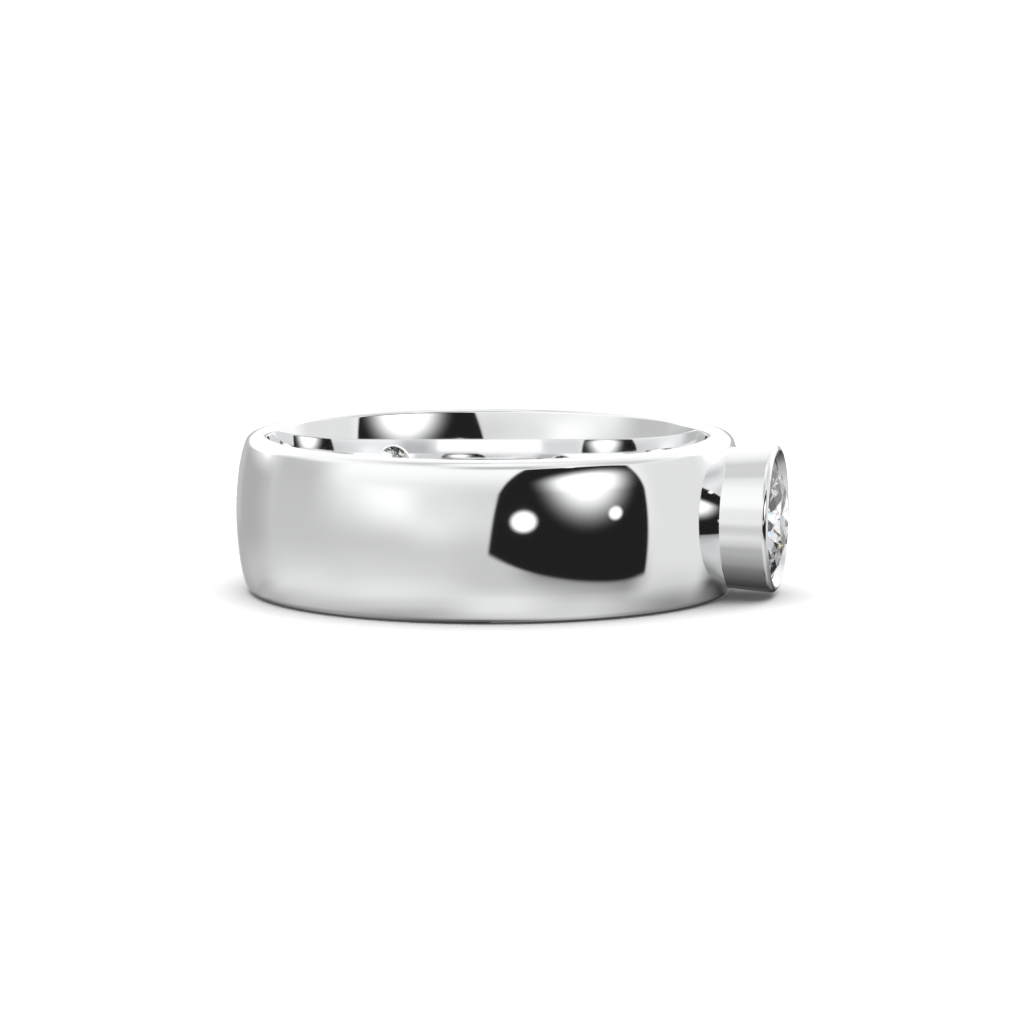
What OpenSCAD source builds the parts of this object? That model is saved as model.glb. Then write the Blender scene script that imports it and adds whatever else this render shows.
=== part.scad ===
// Ring with a wide domed band and one round brilliant in a bezel cup.
// Millimetres. The origin is the centre of the finger hole, +Z runs along the finger
// and +X runs out through the stone, so the ring lies on its side at z = -band_width / 2.

/* [Band] */
// Inside diameter of the band where the finger passes
finger_diameter = 16.3; // [15:0.1:20]
// Width of the band along the finger
band_width = 6; // [5.8:0.1:6.6]
// Thickness of the band at the crown of its dome, opposite the stone
band_thickness = 1.45; // [1.3:0.01:1.8]
// How much thicker the band is at the stone's side
stone_side_growth = 0.2; // [0:0.02:0.24]
// Radius of the dome across the middle of the band
dome_radius = 12.2; // [11:0.1:20]
// Width of that dome, up to the rounder flank on each side
dome_width = 3.7; // [3.4:0.1:4]
// Radius of the two rounder flanks
flank_radius = 5; // [4:0.2:8]
// Rounding of the two outer edges
edge_rounding = 0.42; // [0.3:0.02:0.5]

/* [Comfort fit] */
// Width of the straight stretch in the middle of the finger hole
land_width = 0.6; // [0.4:0.1:1.2]
// Radius of the gentle curve on each side of the straight stretch
gentle_radius = 16.4; // [15:0.2:19]
// Radius of the stronger curve that leads to each edge
shoulder_radius = 9; // [7:0.2:12]
// Rounding of the two inner edges
inner_rounding = 0.18; // [0.12:0.02:0.22]

/* [Stone] */
// Diameter of the stone at its girdle
stone_diameter = 5.04; // [4.8:0.02:5.2]
// Width of the table, corner to corner, as a share of the stone's diameter
table_share = 0.45; // [0.4:0.01:0.6]
// Height of the crown above the girdle
crown_height = 0.6; // [0.5:0.02:0.8]
// Thickness of the girdle
girdle_height = 0.1; // [0.06:0.02:0.14]
// Slope of the pavilion's main facets
pavilion_angle = 41; // [39:0.5:42]
// Height of the table above the rim of the cup
table_rise = 0.22; // [0.1:0.01:0.26]
// Turn of the facets about the stone's axis
facet_turn = 30; // [0:1:45]
// Gap between the stone and the metal round it
setting_gap = 0.03; // [0.02:0.01:0.04]

/* [Bezel cup] */
// Height of the rim above the crown of the band
rim_rise = 1.46; // [1.4:0.02:1.8]
// Wall of the cup round the girdle, at its widest
wall = 0.29; // [0.26:0.01:0.34]
// Slope of the wall, which widens towards the rim
wall_slope = 4.75; // [0:0.25:7]
// Radius that rounds the rim over
rim_rounding = 0.22; // [0.18:0.01:0.23]
// How far the lip reaches in over the girdle
lip_reach = 0.09; // [0.06:0.01:0.14]
// Diameter of the open hole behind the stone
culet_hole_diameter = 4.1; // [3.2:0.1:4.2]

/* [Hidden] */
$fn = 180;

white_metal = [0.86, 0.87, 0.88];
clear_stone = [0.93, 0.95, 0.98];

// The band's curves stand this much proud of true tangency, and its roundings twice as much,
// so each meets its neighbours in a clean crossing.
proud = 0.0002;
// How far a cutting shape runs past what it cuts
past = 1;

// Band: the outer surface turns about an axis a little towards the stone, so the band grows thicker there.
// Its dome bends into a rounder flank on each side, and the flank into the rounded edge.
bore_radius = finger_diameter / 2;
outer_shift = stone_side_growth / 2;
crown_radius = bore_radius + band_thickness + outer_shift;
half_width = band_width / 2;
dome_centre = crown_radius - dome_radius;
flank_angle = asin(dome_width / 2 / dome_radius);
flank_r = dome_centre + (dome_radius - flank_radius) * cos(flank_angle);
flank_z = (dome_radius - flank_radius) * sin(flank_angle);
edge_z = half_width - edge_rounding;
edge_r = flank_r + sqrt(pow(flank_radius - edge_rounding, 2) - pow(edge_z - flank_z, 2));
edge_angle = asin((edge_z - flank_z) / (flank_radius - edge_rounding));

// Comfort fit: the gentle curve starts at the land, and the stronger one where that has turned enough
land_z = land_width / 2;
gentle_turn = 5.3;
gentle_centre = bore_radius + gentle_radius;
join_z = land_z + gentle_radius * sin(gentle_turn);
shoulder_centre = gentle_centre - (gentle_radius - shoulder_radius) * cos(gentle_turn);
shoulder_z = land_z + (gentle_radius - shoulder_radius) * sin(gentle_turn);
inner_z = half_width - inner_rounding;
inner_r = shoulder_centre - sqrt(pow(shoulder_radius - inner_rounding, 2) - pow(inner_z - shoulder_z, 2));
inner_angle = asin((inner_z - shoulder_z) / (shoulder_radius - inner_rounding));

// Stone: heights are measured along its axis from the ring's centre
stone_radius = stone_diameter / 2;
table_radius = table_share * stone_radius;
rim_s = outer_shift + crown_radius + rim_rise;
table_s = rim_s + table_rise;
girdle_top_s = table_s - crown_height;
girdle_low_s = girdle_top_s - girdle_height;
crown_slope = crown_height / (stone_radius - table_radius);
pavilion_slope = tan(pavilion_angle);
culet_s = girdle_low_s - stone_radius * pavilion_slope;
// Star tips sit halfway between the table's edge and the girdle, and the lower tips near the culet
facet_step = 45;
half_step = facet_step / 2;
star_radius = (table_radius * cos(half_step) + stone_radius) / 2;
star_s = table_s - (star_radius * cos(half_step) - table_radius) * crown_slope;
lower_tip_radius = 0.22 * stone_radius;
lower_tip_s = culet_s + lower_tip_radius * cos(half_step) * pavilion_slope;

// Cup: a tapered wall that grows straight out of the band and rolls over into the rim, and a leaning lip
cup_root_s = bore_radius;
lip_edge_r = stone_radius + wall - rim_rounding;
rim_tangent_r = lip_edge_r + rim_rounding * cos(wall_slope);
rim_tangent_s = rim_s - rim_rounding - rim_rounding * sin(wall_slope);
cup_root_r = rim_tangent_r - (rim_tangent_s - cup_root_s) * tan(wall_slope);
upper_girdle_slope = (star_s - girdle_top_s) / (stone_radius - star_radius);
lower_girdle_slope = (girdle_low_s - lower_tip_s) / (stone_radius - lower_tip_radius);
lip_r = stone_radius - lip_reach;
lip_gap_s = setting_gap * sqrt(1 + pow(upper_girdle_slope, 2));
seat_gap_s = setting_gap * sqrt(1 + pow(lower_girdle_slope, 2));
lip_s = girdle_top_s + lip_reach * upper_girdle_slope + lip_gap_s;
pocket_r = stone_radius + setting_gap;
culet_hole_r = culet_hole_diameter / 2;
seat_s = girdle_low_s - (stone_radius - culet_hole_r) * lower_girdle_slope - seat_gap_s;

// Points on a circle of radius r at height h, one for each angle
function ring_points(r, h, angles) = [for (a = angles) [r * cos(a), r * sin(a), h]];

// What lies outside a rounded corner: a wedge from its centre between two directions, less its circle
module corner_waste(centre, radius, from_angle, to_angle, spare = 2 * proud) {
    reach = radius + 3 * past;
    mid_angle = (from_angle + to_angle) / 2;
    translate(centre)
        difference() {
            polygon([
                [0, 0],
                reach * [cos(from_angle), sin(from_angle)],
                1.5 * reach * [cos(mid_angle), sin(mid_angle)],
                reach * [cos(to_angle), sin(to_angle)]
            ]);
            circle(r = radius + spare);
        }
}

// The band's outside, drawn as the section of a solid disc: dome, flanks, rounded edges and flat sides
module outer_section() {
    difference() {
        intersection() {
            translate([dome_centre, 0])
                circle(r = dome_radius);
            translate([0, -half_width])
                square([crown_radius + past, band_width]);
        }
        for (side = [0, 1])
            mirror([0, side]) {
                corner_waste([flank_r, flank_z], flank_radius, flank_angle, 90, proud);
                corner_waste([edge_r, edge_z], edge_rounding, edge_angle, 90);
            }
    }
}

// The finger hole: the straight stretch, both comfort-fit curves and the two rounded inner edges
module hole_section() {
    translate([0, -half_width - past])
        square([bore_radius, band_width + 2 * past]);
    for (side = [0, 1])
        mirror([0, side]) {
            comfort_curve(gentle_centre - proud / 2, land_z, gentle_radius);
            comfort_curve(shoulder_centre - proud, shoulder_z, shoulder_radius, join_z);
            corner_waste([inner_r, inner_z], inner_rounding, 90, 180 - inner_angle);
        }
}

// Widens the finger hole from a height upwards, out to a curve that swells towards the axis
module comfort_curve(centre, curve_z, radius, from_z = land_z) {
    difference() {
        translate([0, from_z])
            square([bore_radius + past, half_width + past - from_z]);
        translate([centre, curve_z])
            circle(r = radius);
    }
}

// Turns a section drawn with its axis upright so that the axis runs along +X
module along_stone_axis() {
    rotate([0, 90, 0])
        children();
}

module cup_section() {
    polygon([
        [0, cup_root_s],
        [cup_root_r, cup_root_s],
        [rim_tangent_r, rim_tangent_s],
        [lip_edge_r, rim_s - rim_rounding],
        [lip_edge_r, rim_s],
        [0, rim_s]
    ]);
    translate([lip_edge_r, rim_s - rim_rounding])
        circle(r = rim_rounding + proud);
}

// The hollow of the cup: leaning lip, girdle pocket, pavilion seat and the open hole through the band
module setting_section() {
    lip_lean = (lip_edge_r - lip_r) / (rim_s - lip_s);
    polygon([
        [0, bore_radius - 2 * past],
        [culet_hole_r, bore_radius - 2 * past],
        [culet_hole_r, seat_s],
        [pocket_r, girdle_low_s - seat_gap_s + setting_gap * lower_girdle_slope],
        [pocket_r, girdle_top_s + setting_gap],
        [lip_r, lip_s],
        [lip_edge_r + past * lip_lean, rim_s + past],
        [0, rim_s + past]
    ]);
}

// Band and cup are one casting, with the finger hole and the setting cut through both
module band_with_bezel() {
    color(white_metal)
        difference() {
            union() {
                translate([outer_shift, 0, 0])
                    rotate_extrude()
                        outer_section();
                along_stone_axis()
                    rotate_extrude()
                        cup_section();
            }
            rotate_extrude()
                hole_section();
            along_stone_axis()
                rotate_extrude()
                    setting_section();
        }
}

// Round brilliant: table, 8 stars, 8 kites, 16 upper girdle facets, girdle, 16 lower girdle facets
// and 8 pavilion mains
module stone() {
    mains = [for (k = [0 : 7]) k * facet_step];
    halves = [for (k = [0 : 7]) (k + 0.5) * facet_step];
    girdle = [for (k = [0 : 15]) k * half_step];
    table = ring_points(table_radius, table_s, mains);
    stars = ring_points(star_radius, star_s, halves);
    girdle_top = ring_points(stone_radius, girdle_top_s, girdle);
    girdle_low = ring_points(stone_radius, girdle_low_s, girdle);
    lower_tips = ring_points(lower_tip_radius, lower_tip_s, halves);
    culet = [[0, 0, culet_s]];
    // First index of each ring of points
    s0 = 8;
    t0 = 16;
    g0 = 32;
    l0 = 48;
    c0 = 56;
    color(clear_stone)
        along_stone_axis()
            rotate([0, 0, facet_turn])
                polyhedron(
                    points = concat(table, stars, girdle_top, girdle_low, lower_tips, culet),
                    faces = concat(
                        [[for (k = [7 : -1 : 0]) k]],
                        [for (k = [0 : 7]) [k, (k + 1) % 8, s0 + k]],
                        [for (k = [0 : 7]) [k, s0 + k, t0 + 2 * k, s0 + (k + 7) % 8]],
                        [for (k = [0 : 7]) [s0 + k, t0 + 2 * k + 1, t0 + 2 * k]],
                        [for (k = [0 : 7]) [s0 + k, t0 + (2 * k + 2) % 16, t0 + 2 * k + 1]],
                        [for (i = [0 : 15]) [t0 + i, t0 + (i + 1) % 16, g0 + (i + 1) % 16, g0 + i]],
                        [for (k = [0 : 7]) [g0 + 2 * k, g0 + 2 * k + 1, l0 + k]],
                        [for (k = [0 : 7]) [g0 + 2 * k + 1, g0 + (2 * k + 2) % 16, l0 + k]],
                        [for (k = [0 : 7]) [g0 + 2 * k, l0 + k, c0, l0 + (k + 7) % 8]]
                    )
                );
}

band_with_bezel();
stone();
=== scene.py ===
"""Bezel set ring: a wide domed band of polished white metal with one round brilliant in a bezel cup.

The ring lies on its side. Its origin is the centre of the finger hole, +Z runs along the finger
and +X runs out through the stone. Shapes are worked out in millimetres and end up in metres.
"""
import logging
import math
from dataclasses import dataclass, field
from enum import Enum, IntEnum

import bmesh
import bpy
import numpy as np
from bpy.types import Material, Node, NodeSocket, NodeTree, Object
from mathutils import Matrix, Vector


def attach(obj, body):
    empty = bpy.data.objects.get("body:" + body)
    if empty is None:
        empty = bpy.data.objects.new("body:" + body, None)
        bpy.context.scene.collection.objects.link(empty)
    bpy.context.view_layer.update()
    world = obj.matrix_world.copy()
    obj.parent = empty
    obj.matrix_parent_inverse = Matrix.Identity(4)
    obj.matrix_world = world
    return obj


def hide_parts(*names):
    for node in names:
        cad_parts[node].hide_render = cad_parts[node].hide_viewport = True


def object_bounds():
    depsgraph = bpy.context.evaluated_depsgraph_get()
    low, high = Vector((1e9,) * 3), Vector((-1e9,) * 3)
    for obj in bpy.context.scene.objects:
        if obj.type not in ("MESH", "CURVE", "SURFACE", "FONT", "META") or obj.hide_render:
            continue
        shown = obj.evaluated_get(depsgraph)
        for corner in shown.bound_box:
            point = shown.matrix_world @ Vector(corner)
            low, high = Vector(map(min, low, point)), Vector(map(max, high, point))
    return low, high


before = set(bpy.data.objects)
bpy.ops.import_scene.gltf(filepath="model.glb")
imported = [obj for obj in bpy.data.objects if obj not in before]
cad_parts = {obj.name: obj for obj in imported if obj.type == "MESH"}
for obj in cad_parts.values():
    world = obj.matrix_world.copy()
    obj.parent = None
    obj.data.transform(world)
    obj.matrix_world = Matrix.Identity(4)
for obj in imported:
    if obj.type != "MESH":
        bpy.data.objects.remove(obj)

# A point of a section, as radius and height, and what a stretch of one gives: points and outward normals
Point = tuple[float, float]
Traced = tuple[np.ndarray, np.ndarray]
CAD_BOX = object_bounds()
MM = 0.001
# Vertices of a lathe that meet on its axis lie closer together than this, in millimetres
MERGE_MM = 1e-4
# Keeps divisions by a length away from zero
TINY = 1e-9
# How far a shape runs past what it cuts or joins, in millimetres
PAST_MM = 1.0
# The hole's edge is lifted this much above tangency, so that it crosses the flat side cleanly
CROSS_MM = 0.0004
# The largest turn between two points of an arc, and the largest that counts as flat, in degrees
ARC_TURN = 7.5
FLAT_TURN = 0.2
# The noise values at which the metal's haze starts and is full
HAZE_FROM_TO = (0.42, 0.72)
# Half of the turn from one main facet of the stone to the next
HALF_STEP = math.radians(22.5)

log = logging.getLogger("ring")


class Slot(Enum):
    """The record's material slots."""

    METAL = "white_metal"
    STONE = "clear_stone"


class Skin(IntEnum):
    """Which of its making surfaces a face of the metal lies on."""

    BAND = 0
    BORE = 1
    CUP = 2
    HOLE = 3


class Turning(Enum):
    """The axis that a section is turned about, as the rotation that takes +Z there."""

    FINGER = Matrix.Identity(3)
    STONE = Matrix.Rotation(math.radians(90), 3, "Y")


class Stretch:
    """A stretch of a section's outline."""

    def trace(self, step: float) -> Traced:
        """Places points along the stretch.

        Args:
            step: The longest way between two points.

        Returns:
            The points and the outward normals there.
        """
        raise NotImplementedError

    def mirrored(self) -> "Stretch":
        """Mirrors the stretch in the band's middle plane.

        Returns:
            Its mirror image, travelled the other way.
        """
        raise NotImplementedError


@dataclass(frozen=True)
class Arc(Stretch):
    """A round stretch.

    Args:
        centre: The arc's centre.
        radius: The arc's radius.
        start: The direction of its first point from the centre, in degrees.
        end: The direction of its last point, in degrees.
        hollow: Whether the metal lies outside the arc, so that its surface faces the centre.
    """

    centre: Point
    radius: float
    start: float
    end: float
    hollow: bool = False

    def trace(self, step: float) -> Traced:
        """Places points along the arc."""
        turn = math.radians(self.end - self.start)
        by_turn = math.ceil(abs(turn) / math.radians(ARC_TURN))
        count = max(3, math.ceil(abs(turn) * self.radius / step), by_turn)
        angles = np.linspace(math.radians(self.start), math.radians(self.end), count + 1)
        normals = np.column_stack([np.cos(angles), np.sin(angles)])
        points = np.array(self.centre) + self.radius * normals
        return points, -normals if self.hollow else normals

    def mirrored(self) -> "Arc":
        """Mirrors the arc."""
        return Arc((self.centre[0], -self.centre[1]), self.radius, -self.end, -self.start, self.hollow)


@dataclass(frozen=True)
class Straight(Stretch):
    """A straight stretch, with its surface facing right of its direction of travel.

    Args:
        start: The first point.
        end: The last point.
    """

    start: Point
    end: Point

    def trace(self, step: float) -> Traced:
        """Places points along the line."""
        start, end = np.array(self.start), np.array(self.end)
        length = float(np.linalg.norm(end - start))
        count = max(1, math.ceil(length / step))
        along = (end - start) / length
        share = np.linspace(0.0, 1.0, count + 1)[:, None]
        return start + share * (end - start), np.tile([along[1], -along[0]], (count + 1, 1))

    def mirrored(self) -> "Straight":
        """Mirrors the line."""
        return Straight((self.end[0], -self.end[1]), (self.start[0], -self.start[1]))


@dataclass
class Section:
    """A section's outline, travelled so that the metal lies on its left.

    Args:
        stretches: The arcs and lines that follow one another.
        step: The longest stretch between two points of the outline.
        closed: Whether the outline returns to its start.
    """

    stretches: list[Stretch]
    step: float
    closed: bool = True
    points: np.ndarray = field(init=False)
    normals: np.ndarray = field(init=False)

    def __post_init__(self) -> None:
        """Traces the stretches one after another and drops the points that two of them share."""
        points, normals = [], []
        for stretch in self.stretches:
            more_points, more_normals = stretch.trace(self.step)
            points.append(more_points[:-1])
            normals.append(more_normals[:-1])
        if not self.closed:
            points.append(more_points[-1:])
            normals.append(more_normals[-1:])
        self.points = np.concatenate(points)
        self.normals = np.concatenate(normals)

    @classmethod
    def from_corners(cls, corners: list, step: float, closed: bool = True) -> "Section":
        """Makes a section of straight lines whose corners are rounded.

        Args:
            corners: One (radius, height, rounding) for each corner, with rounding 0 for a sharp one.
            step: The longest stretch between two points of the outline.
            closed: Whether the outline returns to its start.

        Returns:
            The section.
        """
        places = [np.array(c[:2], float) for c in corners]
        count = len(corners)
        cuts = []
        for i, (place, corner) in enumerate(zip(places, corners)):
            ends_here = not closed and i in (0, count - 1)
            if ends_here or corner[2] == 0:
                cuts.append((place, place, None))
                continue
            before = places[i - 1] - place
            after = places[(i + 1) % count] - place
            before /= np.linalg.norm(before)
            after /= np.linalg.norm(after)
            half = 0.5 * math.acos(max(-1.0, min(1.0, float(before @ after))))
            reach = corner[2] / math.tan(half)
            middle = (before + after) / np.linalg.norm(before + after)
            centre = place + middle * corner[2] / math.sin(half)
            first, last = place + before * reach, place + after * reach
            start = math.degrees(math.atan2(*(first - centre)[::-1]))
            end = math.degrees(math.atan2(*(last - centre)[::-1]))
            turn = (end - start + 180) % 360 - 180
            arc = Arc(tuple(centre), corner[2], start, start + turn, hollow=turn < 0)
            cuts.append((first, last, arc))
        stretches = []
        for i, (_, leave, arc) in enumerate(cuts):
            if arc:
                stretches.append(arc)
            if closed or i < count - 1:
                stretches.append(Straight(tuple(leave), tuple(cuts[(i + 1) % count][0])))
        return cls(stretches, step, closed)

    def normal_near(self, places: np.ndarray) -> np.ndarray:
        """Finds the outline's normal at its nearest point to each place.

        Args:
            places: The places, one row of radius and height each.

        Returns:
            A unit normal for each place.
        """
        starts, ends = self.points, np.roll(self.points, -1, axis=0)
        from_normals, to_normals = self.normals, np.roll(self.normals, -1, axis=0)
        if not self.closed:
            starts, ends = starts[:-1], ends[:-1]
            from_normals, to_normals = from_normals[:-1], to_normals[:-1]
        along = ends - starts
        length = (along**2).sum(axis=1)
        found = np.empty_like(places)
        batch = 20000
        for low in range(0, len(places), batch):
            some = places[low:low + batch]
            share = ((some[:, None] - starts) * along).sum(axis=2) / length
            share = np.clip(share, 0.0, 1.0)
            gap = some[:, None] - (starts + share[..., None] * along)
            best = (gap**2).sum(axis=2).argmin(axis=1)
            part = share[np.arange(len(some)), best][:, None]
            normal = (1 - part) * from_normals[best] + part * to_normals[best]
            found[low:low + batch] = normal / np.linalg.norm(normal, axis=1)[:, None]
        return found


@dataclass(frozen=True)
class RingSizes:
    """The ring's driving sizes, in millimetres and degrees, as its construction has them."""

    finger_diameter: float = 16.3
    band_width: float = 6.0
    band_thickness: float = 1.45
    stone_side_growth: float = 0.2
    dome_radius: float = 12.2
    dome_width: float = 3.7
    flank_radius: float = 5.0
    edge_rounding: float = 0.42
    land_width: float = 0.6
    gentle_radius: float = 16.4
    shoulder_radius: float = 9.0
    inner_rounding: float = 0.18
    gentle_turn: float = 5.3
    stone_diameter: float = 5.04
    table_share: float = 0.45
    crown_height: float = 0.6
    girdle_height: float = 0.1
    pavilion_angle: float = 41.0
    lower_tip_share: float = 0.22
    table_rise: float = 0.22
    facet_turn: float = 30.0
    setting_gap: float = 0.03
    rim_rise: float = 1.46
    wall: float = 0.29
    wall_slope: float = 4.75
    rim_rounding: float = 0.22
    lip_reach: float = 0.09
    culet_hole_diameter: float = 4.1

    @property
    def bore_radius(self) -> float:
        """Radius of the finger hole at its narrowest."""
        return self.finger_diameter / 2

    @property
    def half_width(self) -> float:
        """Half of the band's width."""
        return self.band_width / 2

    @property
    def outer_shift(self) -> float:
        """How far the axis of the band's outer surface lies towards the stone."""
        return self.stone_side_growth / 2

    @property
    def crown_radius(self) -> float:
        """Radius of the band's outer surface at the crown of its dome."""
        return self.bore_radius + self.band_thickness + self.outer_shift

    @property
    def rim_s(self) -> float:
        """Height of the cup's rim along the stone's axis."""
        return self.outer_shift + self.crown_radius + self.rim_rise

    @property
    def table_s(self) -> float:
        """Height of the stone's table."""
        return self.rim_s + self.table_rise

    @property
    def girdle_top_s(self) -> float:
        """Height of the girdle's upper edge."""
        return self.table_s - self.crown_height

    @property
    def girdle_low_s(self) -> float:
        """Height of the girdle's lower edge."""
        return self.girdle_top_s - self.girdle_height

    @property
    def stone_radius(self) -> float:
        """Radius of the stone's girdle."""
        return self.stone_diameter / 2

    @property
    def lip_edge_r(self) -> float:
        """Radius where the rounded rim turns into the lip's inner face."""
        return self.stone_radius + self.wall - self.rim_rounding

    @property
    def rim_corner_r(self) -> float:
        """Radius where the cup's wall would meet the rim's plane if the rim were sharp."""
        slope = math.radians(self.wall_slope)
        tangent_r = self.lip_edge_r + self.rim_rounding * math.cos(slope)
        tangent_s = self.rim_s - self.rim_rounding - self.rim_rounding * math.sin(slope)
        return tangent_r + (self.rim_s - tangent_s) * math.tan(slope)


@dataclass(frozen=True)
class BrilliantShape:
    """The named points of a round brilliant, each as radius and height along its axis.

    Args:
        sizes: The ring's sizes.
    """

    sizes: RingSizes

    @property
    def table(self) -> Point:
        """A corner of the table."""
        return self.sizes.table_share * self.sizes.stone_radius, self.sizes.table_s

    @property
    def crown_slope(self) -> float:
        """Fall of the kites for each millimetre outwards."""
        return self.sizes.crown_height / (self.sizes.stone_radius - self.table[0])

    @property
    def star(self) -> Point:
        """The outer tip of a star facet."""
        radius = (self.table[0] * math.cos(HALF_STEP) + self.sizes.stone_radius) / 2
        return radius, self.sizes.table_s - (radius * math.cos(HALF_STEP) - self.table[0]) * self.crown_slope

    @property
    def pavilion_slope(self) -> float:
        """Rise of the main facets below the girdle for each millimetre outwards."""
        return math.tan(math.radians(self.sizes.pavilion_angle))

    @property
    def culet(self) -> Point:
        """The stone's lower point."""
        return 0.0, self.sizes.girdle_low_s - self.sizes.stone_radius * self.pavilion_slope

    @property
    def lower_tip(self) -> Point:
        """The inner tip of a pair of lower girdle facets."""
        radius = self.sizes.lower_tip_share * self.sizes.stone_radius
        return radius, self.culet[1] + radius * math.cos(HALF_STEP) * self.pavilion_slope

    @property
    def upper_girdle_slope(self) -> float:
        """Fall of the upper girdle facets for each millimetre outwards."""
        return (self.star[1] - self.sizes.girdle_top_s) / (self.sizes.stone_radius - self.star[0])

    @property
    def lower_girdle_slope(self) -> float:
        """Rise of the lower girdle facets for each millimetre outwards."""
        radius, height = self.lower_tip
        return (self.sizes.girdle_low_s - height) / (self.sizes.stone_radius - radius)


def tag_materials() -> list[Material]:
    """Makes one stand-in material for each skin, so that faces keep their skin through a boolean.

    Returns:
        The materials, in the order of Skin.
    """
    return [bpy.data.materials.new(f"skin_{skin.name}") for skin in Skin]


def mesh_object(name: str, points: np.ndarray, edges: list, faces: list) -> Object:
    """Makes a mesh object from plain lists and links it to the scene.

    Args:
        name: The object's name.
        points: One row of x, y and z for each vertex.
        edges: Pairs of vertex numbers, for a mesh with no faces.
        faces: Lists of vertex numbers.

    Returns:
        The new object.
    """
    mesh = bpy.data.meshes.new(name)
    mesh.from_pydata([tuple(p) for p in points], edges, faces)
    mesh.validate()
    made = bpy.data.objects.new(name, mesh)
    bpy.context.scene.collection.objects.link(made)
    return made


def shape_by(made: Object, tree: NodeTree, values: dict) -> None:
    """Runs a Geometry Nodes tree on an object and keeps the result as its mesh.

    Args:
        made: The object.
        tree: The tree.
        values: The value of each of its inputs, by name.
    """
    modifier = made.modifiers.new(tree.name, "NODES")
    modifier.node_group = tree
    for item in tree.interface.items_tree:
        if item.item_type == "SOCKET" and item.in_out == "INPUT" and item.name in values:
            modifier[item.identifier] = values[item.name]
    bake_modifiers(made)


def bake_modifiers(made: Object) -> Object:
    """Replaces an object's mesh by the result of its modifiers and removes them.

    Args:
        made: The object.

    Returns:
        The same object, now with a plain mesh.
    """
    bpy.context.view_layer.update()
    graph = bpy.context.evaluated_depsgraph_get()
    mesh = bpy.data.meshes.new_from_object(made.evaluated_get(graph), depsgraph=graph)
    made.modifiers.clear()
    old = made.data
    made.data = mesh
    bpy.data.meshes.remove(old)
    return made


class ShapeTree:
    """A Geometry Nodes tree under construction.

    Args:
        name: The tree's name.
        sizes: Name, socket type and default of each input after the geometry.
    """

    def __init__(self, name: str, sizes: list[tuple[str, str, object]]) -> None:
        """Makes the tree with its geometry sockets and its named inputs."""
        self.tree = bpy.data.node_groups.new(name, "GeometryNodeTree")
        face = self.tree.interface
        face.new_socket("Geometry", in_out="INPUT", socket_type="NodeSocketGeometry")
        for label, kind, default in sizes:
            socket = face.new_socket(label, in_out="INPUT", socket_type=kind)
            if default is not None:
                socket.default_value = default
        face.new_socket("Geometry", in_out="OUTPUT", socket_type="NodeSocketGeometry")
        self.start = self.tree.nodes.new("NodeGroupInput")
        self.end = self.tree.nodes.new("NodeGroupOutput")

    def node(self, kind: str, **inputs: object) -> Node:
        """Adds a node and links or sets its inputs.

        Args:
            kind: The node's type.
            **inputs: Sockets or plain values, by input name with spaces as underscores.

        Returns:
            The new node.
        """
        made = self.tree.nodes.new(kind)
        for label, value in inputs.items():
            socket = made.inputs[label.replace("_", " ")]
            if isinstance(value, NodeSocket):
                self.tree.links.new(value, socket)
            else:
                socket.default_value = value
        return made

    def finish(self, geometry: NodeSocket) -> NodeTree:
        """Ends the tree in Realize Instances and Set Material.

        Args:
            geometry: The geometry to put out.

        Returns:
            The finished tree.
        """
        real = self.node("GeometryNodeRealizeInstances", Geometry=geometry)
        dressed = self.node(
            "GeometryNodeSetMaterial", Geometry=real.outputs[0], Material=self.start.outputs["Material"]
        )
        self.tree.links.new(dressed.outputs[0], self.end.inputs[0])
        return self.tree


def lathe_tree() -> NodeTree:
    """Builds the tree that turns the modified object's outline round a circle.

    Returns:
        The tree, with the inputs Sweep Radius, Segments, Merge Distance and Material.
    """
    shape = ShapeTree("lathe", [
        ("Sweep Radius", "NodeSocketFloat", 1.0),
        ("Segments", "NodeSocketInt", 64),
        ("Merge Distance", "NodeSocketFloat", MERGE_MM),
        ("Material", "NodeSocketMaterial", None),
    ])
    given = shape.start.outputs
    circle = shape.node(
        "GeometryNodeCurvePrimitiveCircle", Resolution=given["Segments"], Radius=given["Sweep Radius"]
    )
    outline = shape.node("GeometryNodeMeshToCurve", Mesh=given["Geometry"])
    swept = shape.node(
        "GeometryNodeCurveToMesh", Curve=circle.outputs["Curve"], Profile_Curve=outline.outputs["Curve"]
    )
    merged = shape.node(
        "GeometryNodeMergeByDistance", Geometry=swept.outputs["Mesh"], Distance=given["Merge Distance"]
    )
    outwards = shape.node("GeometryNodeFlipFaces", Mesh=merged.outputs["Geometry"])
    smooth = shape.node("GeometryNodeSetShadeSmooth", Geometry=outwards.outputs["Mesh"])
    return shape.finish(smooth.outputs["Geometry"])


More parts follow.
